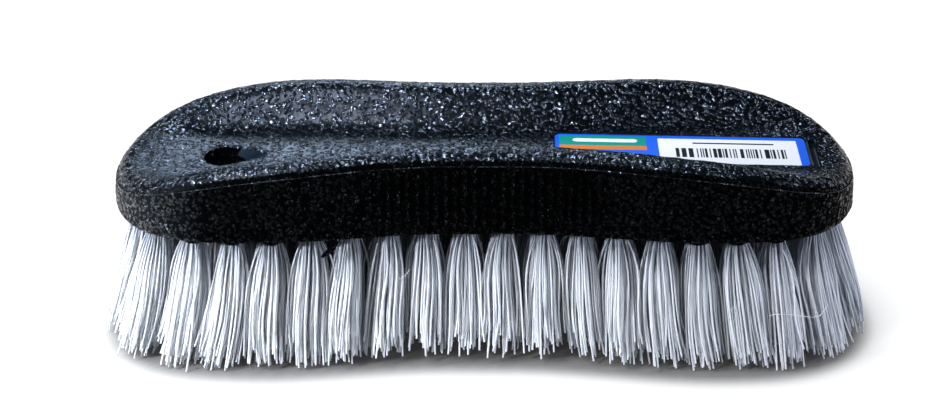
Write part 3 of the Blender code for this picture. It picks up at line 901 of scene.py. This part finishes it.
def filamentPath(tuft, index, chance, reach):
    # neighbours in a tuft bend alike, each with a little wander of its own
    share = math.sqrt((index + 0.5) / tuftForm["count"])
    turn = tuft["start"] + index * tuftForm["goldenTurn"]
    turn += chance.uniform(-tuftForm["turnError"], tuftForm["turnError"])
    out = (math.cos(turn), math.sin(turn))
    stray = tuftForm["strayBend"] if chance.random() < tuftForm["strayShare"] else 1.0
    spread = tuftForm["tipRadius"] * share * chance.uniform(*tuftForm["spread"])
    low = tuftForm["tipGap"] + tuftForm["shortest"] * chance.random() ** tuftForm["shortPower"]
    low += tuft["short"]
    high = form["foot"] + tuftForm["sunk"]
    root = [tuftForm["rootRadius"] * share * part for part in out]
    wander = [chance.gauss(0, tuftForm["wander"]) * stray for _ in range(4)]
    path = []
    for step in range(tuftForm["segments"] + 1):
        z = high + (low - high) * step / tuftForm["segments"]
        down = min(max((form["foot"] - z) / (form["foot"] - low), 0.0), 1.0)
        opened = (1 - tuft["bulge"]) * down + tuft["bulge"] * (1 - (1 - down) ** tuftForm["opening"])
        once, twice = math.sin(math.pi * down), math.sin(2 * math.pi * down)
        point = []
        for axis in (0, 1):
            near = root[1 - axis] / tuftForm["waveSize"]
            bow = tuftForm["wave"] * math.sin(near + tuft["phase"][axis]) + wander[axis]
            curl = 0.5 * tuftForm["wave"] * math.sin(tuftForm["curlTurn"] * near + tuft["phase"][axis + 2])
            curl += 0.5 * wander[axis + 2]
            offset = (spread * out[axis] - root[axis] + wander[axis + 2] * 2) * opened
            drift = tuft["sway"][axis] * down ** tuftForm["driftPower"]
            point.append(tuft["place"][axis] + root[axis] + offset + drift + bow * once + curl * twice)
        path.append((softLimit(point[0], reach[0]), softLimit(point[1], reach[1]), z))
    return path


def makeTuftRow(row, chance):
    piece = newTube(f"bristleRow{row + 1:02d}", tuftForm["thick"])
    reach = [frameBox[1][axis] - tuftForm["clear"] for axis in (0, 1)]
    for place in rowPlaces(row):
        tuft = newTuft(place, chance)
        for index in range(tuftForm["count"]):
            addStrand(piece, filamentPath(tuft, index, chance, reach)).use_smooth = True
    piece = tubeMesh(piece, filament)
    nodes = [f"tuft_row_{row + 1:02d}"]
    if row == tuftForm["holeRow"]:
        nodes = [nodes[0] + "_back", nodes[0] + "_front"]
    ready(piece, nodes)
    return piece


# a few loose hairs caught on the outside of the tufts; their points are in millimetres
looseHairs = {
    "thick": 0.09 * mm, "steps": 8,
    "paths": (
        ((75.2, -32.2, 17.0), (78.0, -32.4, 17.8), (83.4, -32.4, 17.0),
         (87.9, -32.2, 16.4), (89.4, -32.0, 17.6), (90.8, -31.2, 20.0)),
        ((64.4, -31.6, 15.5), (64.5, -32.3, 18.5), (66.3, -32.4, 20.2),
         (67.0, -32.0, 17.6), (66.0, -31.4, 15.0)),
        ((-22.5, -29.2, 26.4), (-21.2, -30.0, 27.0), (-19.6, -29.0, 29.1)),
        ((-37.4, -30.6, 12.4), (-35.4, -31.5, 11.5), (-33.6, -31.2, 10.3)),
    ),
}


def makeLooseHairs():
    piece = newTube("looseHairs", looseHairs["thick"])
    for path in looseHairs["paths"]:
        addStrand(piece, np.array(path) * mm, steps=looseHairs["steps"])
    ready(tubeMesh(piece, filament))


makeLooseHairs()

# a sliver of flash that hangs from the wall's foot left of the waist; points in millimetres,
# widths as shares of the radius
flashSliver = {
    "path": (
        (-38.2, -29.3, 38.9), (-38.8, -30.6, 37.3), (-39.8, -31.3, 36.1),
        (-41.4, -31.6, 35.1), (-42.6, -31.6, 33.9),
    ),
    "widths": (0.55, 0.60, 0.75, 0.80, 0.35), "radius": 1 * mm, "steps": 6,
}


def makeFlashSliver():
    piece = newTube("flashSliver", flashSliver["radius"])
    addStrand(piece, np.array(flashSliver["path"]) * mm, flashSliver["widths"], flashSliver["steps"])
    piece = tubeMesh(piece, leatherShadedSide)
    smoothShade(piece, 60)
    ready(piece)


makeFlashSliver()
print("loose hairs and sliver made")

chance = random.Random(tuftForm["seed"])
for row in range(tuftForm["rows"]):
    made = makeTuftRow(row, chance)
print("tufts made, last row:", len(made.data.polygons), "faces")

# tuft plate: the block's underside with a blind hole for each tuft
tuftPlate = {
    "columns": 128, "inset": 2.1 * mm, "recess": 0.3 * mm, "thick": 3.6 * mm, "holeRadius": 2.65 * mm,
    "holeDepth": 2.9 * mm, "holeColumns": 20,
}


def makeTuftPlate():
    outline = inwardBy(outlinePoints(tuftPlate["columns"]), np.full(tuftPlate["columns"], tuftPlate["inset"]))
    low = form["foot"] + tuftPlate["recess"]
    rows = np.array([withHeight(outline, low), withHeight(outline, low + tuftPlate["thick"])])
    piece = closedRings("blockUnderside", rows)
    wear(piece, plainPlastic)
    nothingSelected()
    bpy.ops.mesh.primitive_cylinder_add(
        vertices=tuftPlate["holeColumns"], radius=tuftPlate["holeRadius"], depth=2 * tuftPlate["holeDepth"],
        location=(0, 0, 0),
    )
    pattern = named("tuftHolePattern")
    holes = []
    for row in range(tuftForm["rows"]):
        for x, y in rowPlaces(row):
            holes.append(copyOf(pattern, (x, y, low)))
    bpy.data.objects.remove(pattern, do_unlink=True)
    cutter = joined("tuftHoles", holes)
    wear(cutter, plainPlastic)
    cutWith(piece, cutter)
    cutWith(piece, holeCutter())
    smoothShade(piece, 40)
    ready(piece)


makeTuftPlate()
print("underside made")

# bosses round the leaning outer tufts at the shoulders
tuftBosses = {
    "rows": (1, 2, 3, 14, 15, 16), "radius": 2.9 * mm, "height": 1.5 * mm, "root": 1.2 * mm,
    "shift": 1.0 * mm, "rounding": 0.9 * mm, "columns": 40,
}


def makeBosses():
    high = form["foot"] + tuftBosses["root"]
    low = form["foot"] - tuftBosses["height"]
    nothingSelected()
    bpy.ops.mesh.primitive_cylinder_add(
        vertices=tuftBosses["columns"], radius=tuftBosses["radius"], depth=high - low, location=(0, 0, 0),
    )
    pattern = named("tuftBossPattern")
    for face in pattern.data.polygons:
        face.select = face.normal.z < -0.9
    startEditing()
    bpy.ops.mesh.select_mode(type="FACE")
    bpy.ops.mesh.bevel(offset=tuftBosses["rounding"], segments=4, affect="EDGES")
    bpy.ops.mesh.select_mode(type="VERT")
    stopEditing()
    bosses = []
    for row in tuftBosses["rows"]:
        x = tuftForm["firstX"] + row * tuftForm["pitch"]
        for side in (-1, 1):
            y = side * (sideAt(x, tuftForm["outerInset"]) + tuftBosses["shift"])
            bosses.append(copyOf(pattern, (x, y, (low + high) / 2)))
    bpy.data.objects.remove(pattern, do_unlink=True)
    piece = joined("tuftBosses", bosses)
    wear(piece, leatherShadedSide)
    smoothShade(piece, 40)
    ready(piece)


makeBosses()
print("bosses made")

# label: the frame's own plate printed blue, with thin printed fields laid on it
wear(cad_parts["label"], inkBlue)
labelPrint = {
    "ink": 0.03 * mm, "module": 0.316 * mm, "seed": 5, "bars": (51.6, 81.6, -5.0, 1.0),
    # from x to x and from y to y, then the corner, all in millimetres, the layer and the ink
    "fields": {
        "labelWhite": ((47.1, 84.8, -9.2, 7.3), 0.2, 0, inkWhite),
        "labelGreen": ((20.3, 43.9, 2.0, 8.3), 0.5, 0, inkGreen),
        "labelOrange": ((20.3, 43.9, -0.8, 1.9), 0.2, 0, inkOrange),
        "labelPill": ((24.0, 41.5, 4.2, 6.4), 1.05, 1, inkWhite),
        "labelRule": ((56.5, 78.5, 4.1, 4.9), 0.1, 1, inkBlack),
    },
}


def printedField(name, edges, corner, layer, finish):
    x0, x1, y0, y1 = edges
    nothingSelected()
    bpy.ops.mesh.primitive_plane_add(size=1.0, location=((x0 + x1) / 2, (y0 + y1) / 2, 0))
    field = named(name)
    field.scale = (x1 - x0, y1 - y0, 1)
    settled()
    startEditing("SELECT")
    if corner:
        bpy.ops.mesh.bevel(offset=corner, segments=6, affect="VERTICES")
        bpy.ops.mesh.select_all(action="SELECT")
    bpy.ops.mesh.extrude_region_move()
    bpy.ops.transform.translate(value=(0, 0, labelPrint["ink"]))
    bpy.ops.mesh.select_all(action="SELECT")
    bpy.ops.mesh.normals_make_consistent(inside=False)
    stopEditing()
    places = pointsOf(field)
    places[:, 2] += labelHeight(places[:, 0]) + labelPrint["ink"] * (layer - 0.5)
    placePoints(field, places)
    wear(field, finish)
    return field


def makeLabelPrint():
    for name, (edges, corner, layer, ink) in labelPrint["fields"].items():
        ready(printedField(name, [edge * mm for edge in edges], corner * mm, layer, ink))
    # made-up bars of one to four modules
    chance = random.Random(labelPrint["seed"])
    x, stop, low, high = [edge * mm for edge in labelPrint["bars"]]
    bars = []
    while x < stop:
        width = chance.choice((1, 1, 2, 2, 3, 4)) * labelPrint["module"]
        bars.append(printedField("labelBar", (x, min(x + width, stop), low, high), 0, 1, inkBlack))
        x += width + chance.choice((1, 1, 2, 2, 3)) * labelPrint["module"]
    ready(joined("labelBars", bars))


makeLabelPrint()
print("label printed")

# floor, light and camera
# shade, soft, offset, offsetShare, halo and haloReach paint a shadow and a halo on the floor round the brush
stageForm = {
    "reach": 6.0, "floor": "#6e6e6e", "shade": "#5f5d5a", "bounce": "#606060", "level": 0.06,
    "sky": "#cfdcf0", "fade": 2.1, "least": 0.02, "fineX": 150 * mm, "fineY": 75 * mm, "cell": 1.5 * mm,
    "columns": 240, "soft": 7 * mm, "offset": 1 * mm, "offsetShare": 0.01, "halo": 0.50, "haloReach": 5 * mm,
}


def makeFloorPiece():
    # a fine sheet under the brush inside a wide plain one; each point keeps a share, from its distance
    # to the brush, that draws a painted shadow and a painted halo round the brush
    nothingSelected()
    bpy.ops.mesh.primitive_grid_add(
        x_subdivisions=int(2 * stageForm["fineX"] / stageForm["cell"]),
        y_subdivisions=int(2 * stageForm["fineY"] / stageForm["cell"]), size=2.0,
    )
    ground = named("stageFloor")
    ground.scale = (stageForm["fineX"], stageForm["fineY"], 1)
    settled()
    startEditing("DESELECT")
    bpy.ops.mesh.select_non_manifold()
    bpy.ops.mesh.extrude_region_move()
    bpy.ops.transform.resize(
        value=(stageForm["reach"] / stageForm["fineX"], stageForm["reach"] / stageForm["fineY"], 1),
        center_override=(0, 0, 0),
    )
    stopEditing()
    places = pointsOf(ground)[:, :2]
    gap = gapTo(outlinePoints(stageForm["columns"]), places)
    gap = np.where(np.abs(places[:, 1]) < halfWidth(places[:, 0]), -gap, gap)
    offset = stageForm["offset"] + stageForm["offsetShare"] * places[:, 0]
    # painted shadow close round the brush, then a fainter painted halo beyond it
    clear = smoothStep(-stageForm["soft"], stageForm["soft"], gap - offset)
    clear = clear * (1 - stageForm["halo"] * np.exp(-np.maximum(gap - offset, 0) / stageForm["haloReach"]))
    mark = ground.data.attributes.new("clear", "FLOAT", "POINT")
    mark.data.foreach_set("value", clear.astype(np.float32))
    return ground


def makeStage():
    ground = makeFloorPiece()
    # white paper to the camera and in reflections, greyer where it throws light back; close round
    # the brush the paper has a painted shadow and a painted halo: a darker colour and less glow
    finish, tree, shader = newFinish("stagePaper")
    path = addNode(tree, "LightPath")
    seen = addNode(
        tree, "Math", {}, {0: path.outputs["Is Camera Ray"], 1: path.outputs["Is Glossy Ray"]},
        operation="ADD", use_clamp=True,
    )
    seen = addNode(
        tree, "Math", {}, {0: seen.outputs[0], 1: path.outputs["Is Transmission Ray"]},
        operation="ADD", use_clamp=True,
    )
    clear = addNode(tree, "Attribute", attribute_name="clear")
    shaded = addNode(
        tree, "MixRGB", {"Color1": hexColour(stageForm["shade"]), "Color2": hexColour(stageForm["floor"])},
        {"Fac": clear.outputs["Fac"]},
    )
    paper = addNode(
        tree, "MixRGB", {"Color1": hexColour(stageForm["bounce"])},
        {"Fac": seen.outputs[0], "Color2": shaded.outputs[0]},
    )
    # the glow grows with the distance from the brush, and stays low in the painted shadow and halo
    glow = addNode(tree, "Math", {1: stageForm["fade"]}, {0: clear.outputs["Fac"]}, operation="POWER")
    glow = addNode(tree, "MapRange", {"To Min": stageForm["least"]}, {"Value": glow.outputs[0]})
    lift = addNode(tree, "Math", {}, {0: seen.outputs[0], 1: glow.outputs[0]}, operation="MULTIPLY")
    tree.links.new(paper.outputs[0], shader.inputs["Base Color"])
    tree.links.new(lift.outputs[0], shader.inputs["Emission Strength"])
    shader.inputs["Emission Color"].default_value = hexColour("#ffffff")
    shader.inputs["Roughness"].default_value = 0.9
    shader.inputs["Specular IOR Level"].default_value = 0.0
    wear(ground, finish)
    world = bpy.data.worlds.new("studio")
    world.use_nodes = True
    bpy.context.scene.world = world
    backdrop = world.node_tree.nodes["Background"]
    backdrop.inputs["Color"].default_value = hexColour(stageForm["sky"])
    backdrop.inputs["Strength"].default_value = stageForm["level"]


# where each lamp stands, what it faces, its width and height, its power and its colour
softboxes = {
    "softboxKey": ((-0.33, -0.35, 0.75), (0, 0, 0.04), (0.10, 0.10), 4.5, "#f8faff"),
    "softboxTop": ((-0.13, -0.06, 0.29), (-0.06, 0, 0.05), (0.05, 0.05), 0.70, "#f0f5ff"),
    "softboxBack": ((-0.12, 0.92, 0.50), (0, 0, 0.05), (0.24, 0.20), 3.3, "#cde4ff"),
    "softboxLeft": ((-0.21, -0.13, 0.12), (-0.09, -0.02, 0.03), (0.03, 0.03), 0.85, "#f0f5ff"),
    "softboxRight": ((0.30, -0.14, 0.06), (0.08, 0, 0.02), (0.10, 0.05), 0.42, "#e6ecff"),
}


def addSoftbox(name, where, aim, size, power, code):
    nothingSelected()
    bpy.ops.object.light_add(type="AREA", location=where)
    lamp = named(name)
    lamp.data.shape = "RECTANGLE"
    lamp.data.size, lamp.data.size_y = size
    lamp.data.energy = power
    lamp.data.color = hexColour(code)[:3]
    lamp.visible_camera = False
    lamp.rotation_mode = "QUATERNION"
    lamp.rotation_quaternion = (Vector(aim) - Vector(where)).to_track_quat("-Z", "Y")


# fitted to the outline in the photograph: 24.5 degrees above the floor, square to the long side
photoCamera = {
    "aimHeight": 38 * mm, "away": 709 * mm, "raised": 24.5, "sensor": 36.0, "clip": (0.01, 20.0),
    "pixelsWide": 931, "focalPixels": 2605, "shiftPixels": (-19.0, -8.6),
}


def makeCamera():
    raised = math.radians(photoCamera["raised"])
    pivot = Vector((0, 0, photoCamera["aimHeight"]))
    place = pivot + photoCamera["away"] * Vector((0, -math.cos(raised), math.sin(raised)))
    nothingSelected()
    bpy.ops.object.camera_add(location=place)
    eye = named("photoCamera")
    eye.rotation_euler = (math.pi / 2 - raised, 0, 0)
    wide = photoCamera["pixelsWide"]
    eye.data.sensor_width = photoCamera["sensor"]
    eye.data.lens = photoCamera["sensor"] * photoCamera["focalPixels"] / wide
    eye.data.shift_x, eye.data.shift_y = (shift / wide for shift in photoCamera["shiftPixels"])
    eye.data.clip_start, eye.data.clip_end = photoCamera["clip"]
    bpy.context.scene.camera = eye


makeStage()
for name, settings in softboxes.items():
    addSoftbox(name, *settings)
makeCamera()
bpy.context.scene.view_settings.view_transform = "Standard"
print("stage, light and camera set")
